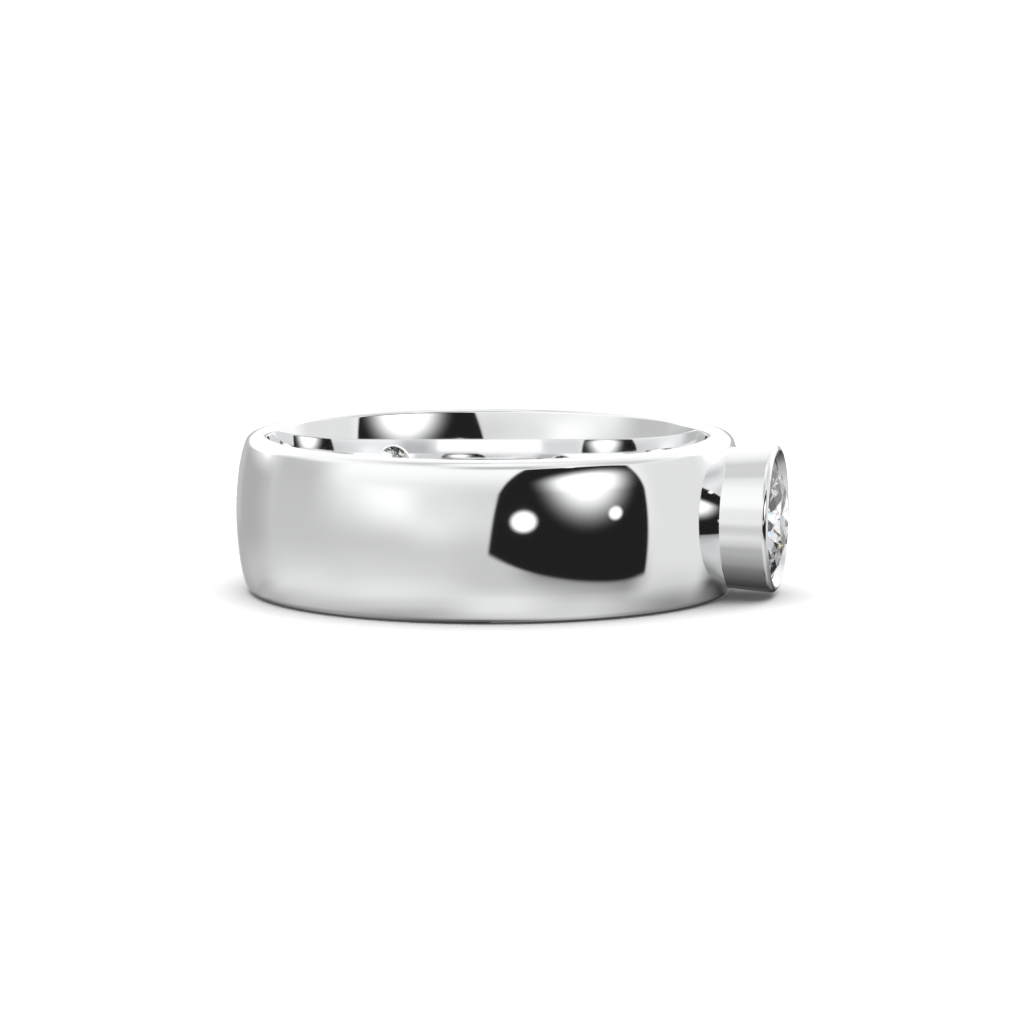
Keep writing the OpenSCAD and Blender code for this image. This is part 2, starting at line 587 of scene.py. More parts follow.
def facet_tree() -> NodeTree:
    """Builds the tree that repeats one sector of a cut stone about its axis.

    Returns:
        The tree, with the inputs Sectors, Merge Distance and Material.
    """
    shape = ShapeTree("facets", [
        ("Sectors", "NodeSocketInt", 8),
        ("Merge Distance", "NodeSocketFloat", MERGE_MM),
        ("Material", "NodeSocketMaterial", None),
    ])
    given = shape.start.outputs
    spots = shape.node("GeometryNodeMeshLine", Count=given["Sectors"], Offset=(0.0, 0.0, 0.0))
    sheet = ShaderSheet(shape.tree)
    number = shape.node("GeometryNodeInputIndex").outputs["Index"]
    angle = sheet.math("MULTIPLY", sheet.math("DIVIDE", number, given["Sectors"]), 2 * math.pi)
    turn = shape.node("ShaderNodeCombineXYZ", Z=angle)
    copies = shape.node(
        "GeometryNodeInstanceOnPoints", Points=spots.outputs["Mesh"], Instance=given["Geometry"],
        Rotation=turn.outputs["Vector"]
    )
    whole = shape.node("GeometryNodeRealizeInstances", Geometry=copies.outputs["Instances"])
    merged = shape.node(
        "GeometryNodeMergeByDistance", Geometry=whole.outputs["Geometry"], Distance=given["Merge Distance"]
    )
    return shape.finish(merged.outputs["Geometry"])


@dataclass
class Turned:
    """A solid that is its section turned about an axis.

    Args:
        name: The solid's name.
        section: The section, as radius and height along the axis.
        axis: The axis that it is turned about.
        skin: The skin that its faces carry.
        segments: How many steps make the whole turn.
        shift: How far the axis lies towards the stone.
        cuts: Whether the solid is cut away, so that the metal faces into it.
    """

    name: str
    section: Section
    axis: Turning
    skin: Skin
    segments: int
    shift: float = 0.0
    cuts: bool = False

    def build(self, lathe: NodeTree, tags: list[Material]) -> Object:
        """Turns the section.

        Args:
            lathe: The lathe tree.
            tags: One material for each skin.

        Returns:
            The solid, in millimetres.
        """
        points = self.section.points
        sweep = float(points[:, 0].max())
        flat = np.column_stack([points[:, 0] - sweep, -points[:, 1], np.zeros(len(points))])
        count = len(points)
        edges = [(i, i + 1) for i in range(count - 1)]
        if self.section.closed:
            edges.append((count - 1, 0))
        made = mesh_object(self.name, flat, edges, [])
        values = {"Sweep Radius": sweep, "Segments": self.segments, "Merge Distance": MERGE_MM}
        shape_by(made, lathe, {**values, "Material": tags[self.skin]})
        made.data.transform(Matrix.Translation((self.shift, 0, 0)) @ self.axis.value.to_4x4())
        tag_faces(made, tags, self.skin)
        return made

    def normals(self, places: np.ndarray) -> np.ndarray:
        """Works out which way the metal faces on the turned surface.

        Args:
            places: Places on the surface, one row of x, y and z each.

        Returns:
            A unit normal for each place.
        """
        turn = np.array(self.axis.value)
        local = (places - (self.shift, 0, 0)) @ turn
        radius = np.hypot(local[:, 0], local[:, 1])
        flat = self.section.normal_near(np.column_stack([radius, local[:, 2]])) * (-1 if self.cuts else 1)
        around = local[:, :2] / np.maximum(radius, TINY)[:, None]
        found = np.column_stack([around * flat[:, :1], flat[:, 1]])
        return found @ turn.T


def tag_faces(made: Object, tags: list[Material], skin: Skin) -> None:
    """Gives every face of an object the stand-in material of its skin.

    Args:
        made: The object.
        tags: One material for each skin.
        skin: The skin.
    """
    made.data.materials.clear()
    for tag in tags:
        made.data.materials.append(tag)
    for face in made.data.polygons:
        face.material_index = skin
        face.use_smooth = True


def combine(base: Object, tool: Object, how: str) -> Object:
    """Joins or cuts two solids and removes the second.

    Args:
        base: The solid that keeps the result.
        tool: The other solid.
        how: UNION or DIFFERENCE.

    Returns:
        The base object.
    """
    step = base.modifiers.new("combine", "BOOLEAN")
    step.operation = how
    step.object = tool
    step.solver = "MANIFOLD"
    bake_modifiers(base)
    bpy.data.objects.remove(tool)
    return base


@dataclass
class LightHole:
    """The cutter of the open hole behind the stone, whose mouth in the finger hole is softly rounded.

    Args:
        sizes: The ring's sizes.
        bore: The finger hole's section, which gives the surface that the hole breaks through.
        top: Height of the cutter's upper end along the stone's axis.
        rounding: Radius of the rounded mouth.
        sink: How much lower than tangent the rounding lies, as a share of it, to cross the wall cleanly.
        collar: How far above the rounding the straight wall has a row of its own.
        mouth_rows: How many rows make the rounding.
        segments: How many steps make the whole turn.
    """

    sizes: RingSizes
    bore: Section
    top: float
    rounding: float = 0.2
    sink: float = 0.01
    collar: float = 0.5
    mouth_rows: int = 7
    segments: int = 160

    @property
    def radius(self) -> float:
        """The hole's radius."""
        return self.sizes.culet_hole_diameter / 2

    def bore_height(self, across: np.ndarray, along: np.ndarray) -> np.ndarray:
        """Gives the height of the finger hole's wall along the stone's axis.

        Args:
            across: Places along Y.
            along: Places along Z.

        Returns:
            The height at each place.
        """
        inner = self.bore.points[self.bore.points[:, 0] >= self.sizes.bore_radius]
        inner = inner[np.abs(inner[:, 1]) < self.sizes.half_width]
        inner = inner[np.argsort(inner[:, 1])]
        wall = np.interp(along, inner[:, 1], inner[:, 0])
        return np.sqrt(wall**2 - across**2)

    def mouth(self, angle: np.ndarray) -> tuple[np.ndarray, np.ndarray]:
        """Places the centre of the mouth's rounding.

        Args:
            angle: Directions round the hole, in radians from +Y.

        Returns:
            The height of the centre, and the wall's rise for each millimetre outwards.
        """
        reach = self.radius + self.rounding
        near = self.bore_height(self.radius * np.cos(angle), self.radius * np.sin(angle))
        far = self.bore_height(reach * np.cos(angle), reach * np.sin(angle))
        rise = (far - near) / self.rounding
        return far + self.rounding * (np.sqrt(1 + rise**2) - self.sink), rise

    def build(self, tags: list[Material]) -> Object:
        """Builds the cutter as rings of points from its top to its mouth and beyond.

        Args:
            tags: One material for each skin.

        Returns:
            The cutter, in millimetres.
        """
        angle = np.linspace(0, 2 * math.pi, self.segments, endpoint=False)
        centre, rise = self.mouth(angle)
        lean = np.arctan(rise)
        wall = np.full_like(angle, self.radius)
        rows = [(wall, np.full_like(angle, self.top)), (wall, centre + self.collar)]
        for share in np.linspace(0, 1, self.mouth_rows):
            swing = share * (math.pi / 2 + lean)
            out = self.radius + self.rounding * (1 - np.cos(swing))
            rows.append((out, centre - self.rounding * np.sin(swing)))
        rows.append((rows[-1][0], np.full_like(angle, self.sizes.bore_radius - 2 * PAST_MM)))
        points = [[s, r * math.cos(a), r * math.sin(a)] for radii, heights in rows
                  for r, s, a in zip(radii, heights, angle)]
        faces = []
        for low in range(0, (len(rows) - 1) * self.segments, self.segments):
            high = low + self.segments
            for i in range(self.segments):
                j = (i + 1) % self.segments
                faces.append([low + i, high + i, high + j, low + j])
        faces.append(list(range(self.segments)))
        last = (len(rows) - 1) * self.segments
        faces.append([last + i for i in range(self.segments)][::-1])
        made = mesh_object("light_hole", np.array(points), [], faces)
        recalculate(made)
        tag_faces(made, tags, Skin.HOLE)
        return made

    def normals(self, places: np.ndarray) -> np.ndarray:
        """Works out which way the metal faces round the hole.

        Args:
            places: Places on the hole's wall, one row of x, y and z each.

        Returns:
            A unit normal for each place.
        """
        angle = np.arctan2(places[:, 2], places[:, 1])
        radius = np.hypot(places[:, 1], places[:, 2])
        centre, _ = self.mouth(angle)
        inward = np.where(places[:, 0] > centre, -1.0, radius - (self.radius + self.rounding))
        down = np.where(places[:, 0] > centre, 0.0, places[:, 0] - centre)
        length = np.maximum(np.hypot(inward, down), TINY)
        return np.column_stack([down, inward * np.cos(angle), inward * np.sin(angle)]) / length[:, None]


def recalculate(made: Object) -> None:
    """Points the faces of a closed mesh outwards.

    Args:
        made: The object.
    """
    work = bmesh.new()
    work.from_mesh(made.data)
    bmesh.ops.recalc_face_normals(work, faces=work.faces)
    if work.calc_volume(signed=True) < 0:
        bmesh.ops.reverse_faces(work, faces=work.faces)
    work.to_mesh(made.data)
    work.free()


@dataclass
class RingMetal:
    """Band and bezel cup, soldered and polished as one piece.

    Args:
        sizes: The ring's sizes.
        band_segments: How many steps make the band's whole turn.
        cup_segments: How many steps make the cup's whole turn.
        step: The longest stretch between two points of the band's section.
        fine_step: The same for the cup.
        lip_roundings: Radii at the lip's upper and lower edge.
        rim_play: How much less than the rim allows its rounding is.
        overlap: How far the seat's floor runs in past the light hole.
        hole_drop: How far below the girdle the light hole's cutter ends.
    """

    sizes: RingSizes
    band_segments: int = 300
    cup_segments: int = 224
    step: float = 0.16
    fine_step: float = 0.12
    lip_roundings: tuple[float, float] = (0.02, 0.012)
    rim_play: float = 0.005
    overlap: float = 0.2
    hole_drop: float = 0.05

    def outer_section(self) -> Section:
        """Lays out the band's outside as a ring's section: flat sides, rounded edges, flanks and dome.

        Returns:
            The closed section, as radius and height.
        """
        z = self.sizes
        dome_centre = z.crown_radius - z.dome_radius
        turn = math.asin(z.dome_width / 2 / z.dome_radius)
        flank_r = dome_centre + (z.dome_radius - z.flank_radius) * math.cos(turn)
        flank_z = (z.dome_radius - z.flank_radius) * math.sin(turn)
        flank_angle = math.degrees(turn)
        edge_z = z.half_width - z.edge_rounding
        reach = z.flank_radius - z.edge_rounding
        edge_r = flank_r + math.sqrt(reach**2 - (edge_z - flank_z) ** 2)
        edge_angle = math.degrees(math.asin((edge_z - flank_z) / reach))
        inside = z.bore_radius - PAST_MM
        dome = Arc((dome_centre, 0.0), z.dome_radius, -flank_angle, flank_angle)
        upper = [
            Arc((flank_r, flank_z), z.flank_radius, flank_angle, edge_angle),
            Arc((edge_r, edge_z), z.edge_rounding, edge_angle, 90.0),
            Straight((edge_r, z.half_width), (inside, z.half_width)),
        ]
        lower = [stretch.mirrored() for stretch in upper[::-1]]
        closing = Straight((inside, z.half_width), (inside, -z.half_width))
        return Section([*lower, dome, *upper, closing], self.step)

    def bore_section(self) -> Section:
        """Lays out the finger hole's section: a straight stretch, two curves on each side and a rounded edge.

        Returns:
            The section from its lower end on the axis to its upper one.
        """
        z = self.sizes
        land_z = z.land_width / 2
        gentle_centre = z.bore_radius + z.gentle_radius
        turn = math.radians(z.gentle_turn)
        shoulder_centre = gentle_centre - (z.gentle_radius - z.shoulder_radius) * math.cos(turn)
        shoulder_z = land_z + (z.gentle_radius - z.shoulder_radius) * math.sin(turn)
        inner_z = z.half_width - z.inner_rounding
        reach = z.shoulder_radius - z.inner_rounding
        inner_r = shoulder_centre - math.sqrt(reach**2 - (inner_z - shoulder_z) ** 2)
        inner_angle = math.degrees(math.asin((inner_z - shoulder_z) / reach))
        gentle_end = 180.0 - z.gentle_turn
        shoulder_end = 180.0 - inner_angle
        top = z.half_width + PAST_MM
        upper = [
            Arc((gentle_centre, land_z), z.gentle_radius, 180.0, gentle_end, hollow=True),
            Arc((shoulder_centre, shoulder_z), z.shoulder_radius, gentle_end, shoulder_end, hollow=True),
            Arc((inner_r, inner_z + CROSS_MM), z.inner_rounding, shoulder_end, 90.0, hollow=True),
            Straight((inner_r, z.half_width + CROSS_MM), (inner_r, top)),
            Straight((inner_r, top), (0.0, top)),
        ]
        lower = [stretch.mirrored() for stretch in upper[::-1]]
        middle = Straight((z.bore_radius, -land_z), (z.bore_radius, land_z))
        return Section([*lower, middle, *upper], self.step, closed=False)

    def cup_section(self) -> Section:
        """Lays out the cup's section: root, wall, rolled rim, leaning lip, girdle pocket, seat and floor.

        Returns:
            The section from its lower end on the axis to its upper one.
        """
        z = self.sizes
        stone = BrilliantShape(z)
        lip_r = z.stone_radius - z.lip_reach
        lip_gap = z.setting_gap * math.hypot(1, stone.upper_girdle_slope)
        seat_gap = z.setting_gap * math.hypot(1, stone.lower_girdle_slope)
        lip_s = z.girdle_top_s + z.lip_reach * stone.upper_girdle_slope + lip_gap
        pocket_r = z.stone_radius + z.setting_gap
        floor_r = z.culet_hole_diameter / 2 - self.overlap
        floor_s = z.girdle_low_s - (z.stone_radius - floor_r) * stone.lower_girdle_slope - seat_gap
        pocket_s = z.girdle_low_s - seat_gap + z.setting_gap * stone.lower_girdle_slope
        root_s = z.bore_radius
        root_r = z.rim_corner_r - (z.rim_s - root_s) * math.tan(math.radians(z.wall_slope))
        return Section.from_corners([
            (0.0, root_s, 0),
            (root_r, root_s, 0),
            (z.rim_corner_r, z.rim_s, z.rim_rounding - self.rim_play),
            (z.lip_edge_r, z.rim_s, self.lip_roundings[0]),
            (lip_r, lip_s, self.lip_roundings[1]),
            (pocket_r, z.girdle_top_s + z.setting_gap, 0),
            (pocket_r, pocket_s, 0),
            (floor_r, floor_s, 0),
            (0.0, floor_s, 0),
        ], self.fine_step, closed=False)

    def build(self, lathe: NodeTree) -> Object:
        """Turns, joins and pierces the metal, and gives it the exact normals of its surfaces.

        Args:
            lathe: The lathe tree.

        Returns:
            The finished metal, in metres.
        """
        z = self.sizes
        tags = tag_materials()
        around = self.band_segments
        band = Turned("band", self.outer_section(), Turning.FINGER, Skin.BAND, around, z.outer_shift)
        bore = Turned("bore", self.bore_section(), Turning.FINGER, Skin.BORE, around, cuts=True)
        cup = Turned("cup", self.cup_section(), Turning.STONE, Skin.CUP, self.cup_segments)
        hole = LightHole(z, bore.section, z.girdle_low_s - self.hole_drop)
        metal = band.build(lathe, tags)
        metal.name = "ring_metal"
        combine(metal, cup.build(lathe, tags), "UNION")
        combine(metal, bore.build(lathe, tags), "DIFFERENCE")
        combine(metal, hole.build(tags), "DIFFERENCE")
        makers = {Skin.BAND: band, Skin.BORE: bore, Skin.CUP: cup, Skin.HOLE: hole}
        self.polish(metal, makers)
        metal.data.transform(Matrix.Scale(MM, 4))
        return metal

    @staticmethod
    def polish(metal: Object, makers: dict) -> None:
        """Sets each face corner's normal to that of the surface that the face was cut from.

        Args:
            metal: The joined metal, in millimetres.
            makers: The surface behind each skin.
        """
        mesh = metal.data
        places = np.array([vertex.co for vertex in mesh.vertices])
        corner_vertex = np.array([corner.vertex_index for corner in mesh.loops])
        corner_skin = np.array([face.material_index for face in mesh.polygons for _ in face.loop_indices])
        normals = np.zeros((len(mesh.loops), 3))
        for skin, maker in makers.items():
            mine = corner_skin == int(skin)
            if mine.any():
                normals[mine] = maker.normals(places[corner_vertex[mine]])
        for face in mesh.polygons:
            face.use_smooth = True
            face.material_index = 0
        mesh.normals_split_custom_set([tuple(n) for n in normals])
        mesh.update()


@dataclass
class Brilliant:
    """The round brilliant.

    Args:
        sizes: The ring's sizes.
        sectors: How many times its facets repeat about the axis.
    """

    sizes: RingSizes
    sectors: int = 8

    def sector(self) -> Object:
        """Lays out one eighth of the facets, from one kite's middle line to the next one's.

        Returns:
            The sector, upright, in millimetres.
        """
        z = self.sizes
        shape = BrilliantShape(z)
        full = 2 * math.pi / self.sectors

        def at(point: Point, share: float) -> tuple:
            """Turns a point by a share of the sector."""
            return point[0] * math.cos(share * full), point[0] * math.sin(share * full), point[1]

        top = (z.stone_radius, z.girdle_top_s)
        low = (z.stone_radius, z.girdle_low_s)
        points = {
            "middle": at((0.0, z.table_s), 0),
            "table_a": at(shape.table, 0),
            "table_b": at(shape.table, 1),
            "star": at(shape.star, 0.5),
            "top_a": at(top, 0),
            "top_m": at(top, 0.5),
            "top_b": at(top, 1),
            "low_a": at(low, 0),
            "low_m": at(low, 0.5),
            "low_b": at(low, 1),
            "tip": at(shape.lower_tip, 0.5),
            "culet": at(shape.culet, 0),
        }
        facets = [
            ("middle", "table_a", "table_b"),
            ("table_a", "star", "table_b"),
            ("table_a", "top_a", "star"),
            ("table_b", "star", "top_b"),
            ("star", "top_a", "top_m"),
            ("star", "top_m", "top_b"),
            ("top_a", "low_a", "low_m", "top_m"),
            ("top_m", "low_m", "low_b", "top_b"),
            ("tip", "low_m", "low_a"),
            ("tip", "low_b", "low_m"),
            ("low_a", "culet", "tip"),
            ("low_b", "tip", "culet"),
        ]
        order = {name: i for i, name in enumerate(points)}
        faces = [[order[name] for name in facet] for facet in facets]
        return mesh_object("brilliant", np.array(list(points.values())), [], faces)

    def build(self, facets: NodeTree, material: Material) -> Object:
        """Repeats the sector, closes the stone and sets it on its axis.

        Args:
            facets: The facet tree.
            material: The stone's material.

        Returns:
            The finished stone, in metres.
        """
        made = self.sector()
        shape_by(made, facets, {"Sectors": self.sectors, "Merge Distance": MERGE_MM, "Material": material})
        # The tree leaves an empty slot before the material
        made.data.materials.clear()
        made.data.materials.append(material)
        work = bmesh.new()
        work.from_mesh(made.data)
        flat = math.radians(FLAT_TURN)
        bmesh.ops.dissolve_limit(work, angle_limit=flat, verts=work.verts, edges=work.edges)
        work.to_mesh(made.data)
        work.free()
        recalculate(made)
        spin = Matrix.Rotation(math.radians(self.sizes.facet_turn), 4, "Z")
        made.data.transform(Matrix.Scale(MM, 4) @ Turning.STONE.value.to_4x4() @ spin)
        made.data.shade_flat()
        return made


class ShaderSheet:
    """A node tree under construction, with short calls for its usual nodes.

    Args:
        tree: The node tree.
    """

    def __init__(self, tree: NodeTree) -> None:
        """Keeps the tree."""
        self.tree = tree

    def node(self, kind: str, **settings: object) -> Node:
        """Adds a node and sets its properties.

        Args:
            kind: The node's type.
            **settings: Properties of the node, by name.

        Returns:
            The new node.
        """
        made = self.tree.nodes.new(kind)
        for label, value in settings.items():
            setattr(made, label, value)
        return made

    def feed(self, socket: NodeSocket, value: object) -> None:
        """Links a socket into an input, or sets the input's value.

        Args:
            socket: The input.
            value: A socket or a plain value.
        """
        if isinstance(value, NodeSocket):
            self.tree.links.new(value, socket)
        else:
            socket.default_value = value

    def math(self, operation: str, first: object, second: object = 0.0) -> NodeSocket:
        """Works out a sum, product or other function.

        Args:
            operation: The function.
            first: Its first value.
            second: Its second value.

        Returns:
            Its result.
        """
        made = self.node("ShaderNodeMath", operation=operation)
        self.feed(made.inputs[0], first)
        self.feed(made.inputs[1], second)
        return made.outputs[0]

    def dot(self, first: object, second: object) -> NodeSocket:
        """Adds a dot product.

        Args:
            first: The first vector.
            second: The second vector.

        Returns:
            The product.
        """
        made = self.node("ShaderNodeVectorMath", operation="DOT_PRODUCT")
        self.feed(made.inputs[0], first)
        self.feed(made.inputs[1], second)
        return made.outputs["Value"]

    def fade(self, value: object, low: float, high: float) -> NodeSocket:
        """Rises smoothly from 0 at low to 1 at high, or falls if high is the smaller.

        Args:
            value: The value to judge.
            low: Where the result is 0.
            high: Where the result is 1.

        Returns:
            The result.
        """
        made = self.node("ShaderNodeMapRange", interpolation_type="SMOOTHSTEP")
        self.feed(made.inputs["Value"], value)
        start, end = (low, high) if low < high else (high, low)
        self.feed(made.inputs["From Min"], start)
        self.feed(made.inputs["From Max"], end)
        self.feed(made.inputs["To Min"], 0.0 if low < high else 1.0)
        self.feed(made.inputs["To Max"], 1.0 if low < high else 0.0)
        return made.outputs["Result"]

    def mix(self, share: object, first: object, second: object) -> NodeSocket:
        """Mixes two values.

        Args:
            share: How much of the second shows.
            first: The first value.
            second: The second value.

        Returns:
            The mixed value.
        """
        made = self.node("ShaderNodeMix", data_type="FLOAT")
        self.feed(made.inputs[0], share)
        self.feed(made.inputs[2], first)
        self.feed(made.inputs[3], second)
        return made.outputs[0]

    def noise(self, vector: object, scale: float, detail: float, rough: float = 0.5) -> NodeSocket:
        """Adds a noise texture.

        Args:
            vector: Where it is read.
            scale: Its scale.
            detail: Its detail.
            rough: Its roughness.

        Returns:
            The noise, from 0 to 1.
        """
        made = self.node("ShaderNodeTexNoise")
        self.feed(made.inputs["Vector"], vector)
        self.feed(made.inputs["Scale"], scale)
        self.feed(made.inputs["Detail"], detail)
        self.feed(made.inputs["Roughness"], rough)
        return made.outputs["Fac"]

    def ramp(self, value: object, stops: list[tuple[float, tuple]]) -> NodeSocket:
        """Adds a colour ramp.

        Args:
            value: Where it is read.
            stops: Position and colour of each stop.

        Returns:
            The colour.
        """
        made = self.node("ShaderNodeValToRGB")
        elements = made.color_ramp.elements
        elements.remove(elements[-1])
        for i, (position, colour) in enumerate(stops):
            stop = elements.new(position) if i else elements[0]
            stop.position = position
            stop.color = colour
        self.feed(made.inputs[0], value)
        return made.outputs["Color"]


def polish_group() -> NodeTree:
    """Builds the group that both finishes share: faint haze patches and fine polishing marks.

    Returns:
        The group, with the inputs Vector, Patch Scale and Mark Scale and the outputs Haze and Marks.
    """
    tree = bpy.data.node_groups.new("polish_wear", "ShaderNodeTree")
    face = tree.interface
    face.new_socket("Vector", in_out="INPUT", socket_type="NodeSocketVector")
    for label, default in (("Patch Scale", 400.0), ("Mark Scale", 3000.0)):
        face.new_socket(label, in_out="INPUT", socket_type="NodeSocketFloat").default_value = default
    for label in ("Haze", "Marks"):
        face.new_socket(label, in_out="OUTPUT", socket_type="NodeSocketFloat")
    sheet = ShaderSheet(tree)
    given = sheet.node("NodeGroupInput").outputs
    result = sheet.node("NodeGroupOutput")
    patches = sheet.noise(given["Vector"], given["Patch Scale"], 3.0)
    sheet.feed(result.inputs["Haze"], sheet.fade(patches, *HAZE_FROM_TO))
    sheet.feed(result.inputs["Marks"], sheet.noise(given["Vector"], given["Mark Scale"], 2.0, 0.6))
    return tree


@dataclass(frozen=True)
class Finish:
    """What both finishes share: a mirror polish with faint haze patches.

    Args:
        name: The material's name.
        roughness: Its roughness where it is cleanest.
        haze: How much roughness the haze adds.
        patch_scale: How fine the haze patches lie.
        mark_scale: How fine the polishing marks lie.
    """

    name: str = "polished"
    roughness: float = 0.0
    haze: float = 0.0
    patch_scale: float = 400.0
    mark_scale: float = 3000.0

    def start(self, wear: NodeTree) -> tuple[Material, ShaderSheet, Node, Node]:
        """Makes the material with its wear and roughness.

        Args:
            wear: The shared group of polishing wear.

        Returns:
            The material, its shader sheet, its shader and its wear.
        """
        made = bpy.data.materials.new(self.name)
        made.use_nodes = True
        sheet = ShaderSheet(made.node_tree)
        shader = made.node_tree.nodes["Principled BSDF"]
        worn = sheet.node("ShaderNodeGroup", node_tree=wear)
        sheet.feed(worn.inputs["Vector"], sheet.node("ShaderNodeTexCoord").outputs["Object"])
        sheet.feed(worn.inputs["Patch Scale"], self.patch_scale)
        sheet.feed(worn.inputs["Mark Scale"], self.mark_scale)
        spread = sheet.math("MULTIPLY", worn.outputs["Haze"], self.haze)
        sheet.feed(shader.inputs["Roughness"], sheet.math("ADD", spread, self.roughness))
        return made, sheet, shader, worn


@dataclass(frozen=True)
class PolishedMetal(Finish):
    """Mirror-polished white metal.

    Args:
        colour: Its reflection, as red, green and blue.
        haze_shade: What the haze leaves of the reflection.
        mark_height: Height of the polishing marks, in metres.
        mark_strength: How much of them shows.
    """

    name: str = "polished_white_metal"
    roughness: float = 0.035
    haze: float = 0.02
    patch_scale: float = 260.0
    mark_scale: float = 2600.0
    colour: tuple[float, float, float] = (0.915, 0.92, 0.925)
    haze_shade: float = 0.985
    mark_height: float = 2e-7
    mark_strength: float = 0.2

    def build(self, wear: NodeTree) -> Material:
        """Makes the material.

        Args:
            wear: The shared group of polishing wear.

        Returns:
            The material.
        """
        made, sheet, shader, worn = self.start(wear)
        shader.inputs["Metallic"].default_value = 1.0
        tint = sheet.node("ShaderNodeMix", data_type="RGBA")
        sheet.feed(tint.inputs[0], worn.outputs["Haze"])
        tint.inputs[6].default_value = (*self.colour, 1.0)
        tint.inputs[7].default_value = (*(self.haze_shade * c for c in self.colour), 1.0)
        sheet.feed(shader.inputs["Base Color"], tint.outputs[2])
        bump = sheet.node("ShaderNodeBump")
        bump.inputs["Strength"].default_value = self.mark_strength
        bump.inputs["Distance"].default_value = self.mark_height
        sheet.feed(bump.inputs["Height"], worn.outputs["Marks"])
        sheet.feed(shader.inputs["Normal"], bump.outputs["Normal"])
        return made


@dataclass(frozen=True)
class ClearStone(Finish):
    """A colourless brilliant with polished facets, whose play of colour is painted into its colour as fixed
    blue and amber tints.

    Args:
        ior: Its refractive index.
        painted_fire: Place on the ramp and colour of each painted tint that stands in for its play of colour.
        painted_fire_scale: How fine the painted tints lie.
    """

    name: str = "clear_brilliant"
    haze: float = 0.004
    patch_scale: float = 900.0
    mark_scale: float = 4000.0
    ior: float = 2.417
    # Painted fire: tints of the stone's colour that stand in for the coloured glints of its play of colour
    painted_fire: tuple = (
        (0.36, (0.62, 0.8, 1.0)), (0.42, (1.0, 1.0, 1.0)), (0.6, (1.0, 1.0, 1.0)), (0.66, (1.0, 0.84, 0.55))
    )
    painted_fire_scale: float = 1500.0

    def build(self, wear: NodeTree) -> Material:
        """Makes the material.

        Args:
            wear: The shared group of polishing wear.

        Returns:
            The material.
        """
        made, sheet, shader, _ = self.start(wear)
        shader.inputs["Transmission Weight"].default_value = 1.0
        shader.inputs["IOR"].default_value = self.ior
        place = sheet.node("ShaderNodeTexCoord").outputs["Object"]
        # Painted fire: noise sets fixed blue and amber tints into the stone's colour in place of the colour
        # that light splits out of it
        stops = [(position, (*colour, 1.0)) for position, colour in self.painted_fire]
        sheet.feed(shader.inputs["Base Color"], sheet.ramp(sheet.noise(place, self.painted_fire_scale, 1.0), stops))
        return made


@dataclass(frozen=True)
class Cloud:
    """A soft-edged rectangle of the studio's surroundings, in degrees.

    Args:
        sides: Its left and right edge, from the camera's side towards the picture's right.
        heights: Its lower and upper edge above the horizon.
        soft: How far its edges fade, across and up.
        level: Its brightness.
    """

    sides: tuple[float, float]
    heights: tuple[float, float]
    soft: tuple[float, float]
    level: float


@dataclass(frozen=True)
class Lamp:
    """An oval light in the dark panel, in degrees.

    Args:
        side: Its direction across, from the camera's side towards the picture's right.
        height: Its height above the horizon.
        size: Its half width, and its reach down and up.
        soft: How far its edge fades, as a share of its size.
        falloff: How fast the fade drops, with 1 for an even one.
        level: Its brightness.
    """

    side: float
    height: float
    size: tuple[float, float, float]
    soft: float
    falloff: float
    level: float


